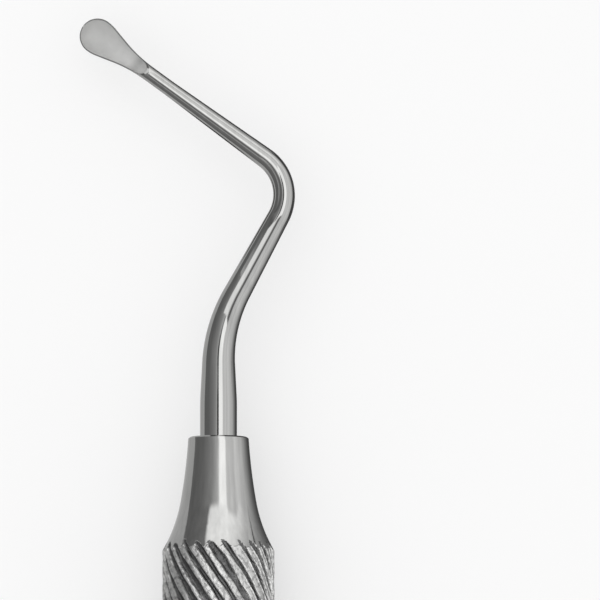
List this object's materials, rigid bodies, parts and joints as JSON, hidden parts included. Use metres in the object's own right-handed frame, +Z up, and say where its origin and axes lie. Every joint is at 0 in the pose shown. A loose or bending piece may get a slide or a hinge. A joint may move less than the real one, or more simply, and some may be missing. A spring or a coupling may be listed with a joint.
{
  "type": "double-ended bone curette",
  "caption": "Slim surgical hand instrument with a twist-ridged round handle and a bent, tapered shank ending in a small sharp-edged spoon at each end, mirror twins of each other.",
  "frame": {"origin": "on the handle's axis, halfway along the handle", "axes": "+Y along the handle's axis towards the upper working end, +X towards that end's knee, +Z up, the way the upper end's spoon opens; the instrument lies on its handle"},
  "size_m": [0.0186, 0.1724, 0.008],
  "materials": {
    "handle_steel": "polished cones, satin twisted ridges",
    "tip_steel": "polished shanks, fine satin spoons"
  },
  "bodies": {
    "root": {"handle": "handle_steel", "upper_working_end": "tip_steel", "lower_working_end": "tip_steel"}
  },
  "joints": []
}
